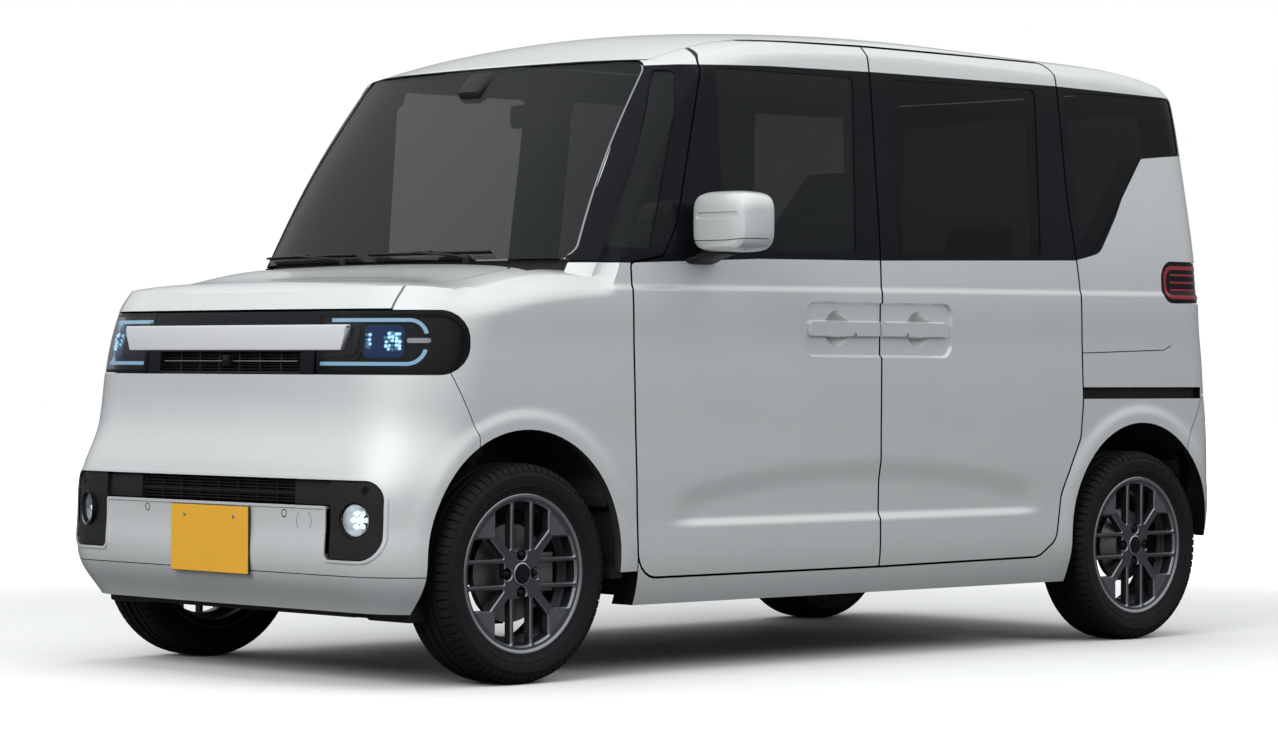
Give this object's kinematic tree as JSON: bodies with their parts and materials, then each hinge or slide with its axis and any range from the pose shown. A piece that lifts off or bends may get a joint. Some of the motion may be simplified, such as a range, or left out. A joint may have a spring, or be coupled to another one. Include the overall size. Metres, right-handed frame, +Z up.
{
  "type": "kei-class electric super-height wagon",
  "caption": "Small tall box-shaped electric car with hinged front doors, sliding rear doors, hood, tailgate, steered front wheels and alloy wheels.",
  "frame": {"origin": "on the floor under the middle of the overall box", "axes": "+Z up, -Y towards the front of the car, +X towards the car's left side"},
  "size_m": [1.9, 3.394, 1.8002],
  "materials": {
    "body_paint": "light grey pearl gloss",
    "dark_glass": "tinted",
    "lamp_lens": "dark lamp",
    "red_lens": "red lamp",
    "satin_metal": "satin",
    "black_plastic": "grained",
    "seat_cloth": "woven",
    "steering_cover": "smooth",
    "chassis_black": "satin",
    "floor_metal": "satin",
    "cast_iron": "machined",
    "wheel_alloy": "dark metallic",
    "tyre": "moulded"
  },
  "bodies": {
    "root": {"floor_pan": "floor_metal", "body_side_left": "body_paint", "body_side_right": "body_paint", "roof": "body_paint", "fender_left": "body_paint", "fender_right": "body_paint", "front_bumper": "body_paint", "rear_bumper": "body_paint", "windscreen": "dark_glass", "side_glass": "dark_glass", "sliding_door_left": "body_paint", "sliding_door_right": "body_paint", "headlamps": "lamp_lens", "grille_bar": "satin_metal", "upper_grille": "black_plastic", "lower_grille": "black_plastic", "tail_lamps": "red_lens", "front_seats": "seat_cloth", "rear_seat": "seat_cloth", "dashboard": "black_plastic", "cowl_panel": "black_plastic", "wipers": "black_plastic", "front_suspension": "chassis_black", "rear_axle": "chassis_black", "battery_pack": "chassis_black", "drive_unit": "chassis_black"},
    "door_left": {"door_left": "body_paint", "door_glass_left": "dark_glass", "mirror_left": "body_paint"},
    "door_right": {"door_right": "body_paint", "door_glass_right": "dark_glass", "mirror_right": "body_paint"},
    "hood": {"hood": "body_paint"},
    "tailgate": {"tailgate": "body_paint", "tailgate_glass": "dark_glass"},
    "steering_wheel": {"steering_wheel": "steering_cover"},
    "knuckle_left": {"knuckle_left": "cast_iron"},
    "knuckle_right": {"knuckle_right": "cast_iron"},
    "wheel_front_left": {"rim_front_left": "wheel_alloy", "tyre_front_left": "tyre", "brake_disc_left": "cast_iron"},
    "wheel_front_right": {"rim_front_right": "wheel_alloy", "tyre_front_right": "tyre", "brake_disc_right": "cast_iron"},
    "wheel_rear_left": {"rim_rear_left": "wheel_alloy", "tyre_rear_left": "tyre", "brake_drum_left": "cast_iron"},
    "wheel_rear_right": {"rim_rear_right": "wheel_alloy", "tyre_rear_right": "tyre", "brake_drum_right": "cast_iron"}
  },
  "joints": [
    {"name": "door_left_hinge", "type": "hinge", "parent": "root", "child": "door_left", "pos_m": [0.7315, -0.8522, 0.7], "axis": [0, 0.0347, -0.9994], "range_deg": [0, 65]},
    {"name": "door_right_hinge", "type": "hinge", "parent": "root", "child": "door_right", "pos_m": [-0.7315, -0.8522, 0.7], "axis": [0, -0.0347, 0.9994], "range_deg": [0, 65]},
    {"name": "hood_hinge", "type": "hinge", "parent": "root", "child": "hood", "pos_m": [0, -1.1594, 1.08], "axis": [-1, 0, 0], "range_deg": [0, 50]},
    {"name": "tailgate_hinge", "type": "hinge", "parent": "root", "child": "tailgate", "pos_m": [0, 1.5605, 1.69], "axis": [1, 0, 0], "range_deg": [0, 80]},
    {"name": "steer_left", "type": "hinge", "parent": "root", "child": "knuckle_left", "pos_m": [0.605, -1.2375, 0.28675], "axis": [0, 0, 1], "range_deg": [-32, 32]},
    {"name": "steer_right", "type": "hinge", "parent": "root", "child": "knuckle_right", "pos_m": [-0.605, -1.2375, 0.28675], "axis": [0, 0, 1], "range_deg": [-32, 32]},
    {"name": "steering_wheel_turn", "type": "hinge", "parent": "root", "child": "steering_wheel", "pos_m": [-0.35, -0.47, 0.985], "axis": [0, 0.8829, 0.4695], "range_deg": [-450, 450]},
    {"name": "wheel_front_left_spin", "type": "hinge", "parent": "knuckle_left", "child": "wheel_front_left", "pos_m": [0.645, -1.2375, 0.28675], "axis": [1, 0, 0], "continuous": true},
    {"name": "wheel_front_right_spin", "type": "hinge", "parent": "knuckle_right", "child": "wheel_front_right", "pos_m": [-0.645, -1.2375, 0.28675], "axis": [1, 0, 0], "continuous": true},
    {"name": "wheel_rear_left_spin", "type": "hinge", "parent": "root", "child": "wheel_rear_left", "pos_m": [0.645, 1.2825, 0.28675], "axis": [1, 0, 0], "continuous": true},
    {"name": "wheel_rear_right_spin", "type": "hinge", "parent": "root", "child": "wheel_rear_right", "pos_m": [-0.645, 1.2825, 0.28675], "axis": [1, 0, 0], "continuous": true}
  ],
  "couplings": [
    {"joint": "steer_right", "follows": "steer_left", "ratio": 1},
    {"joint": "steering_wheel_turn", "follows": "steer_left", "ratio": 14}
  ]
}
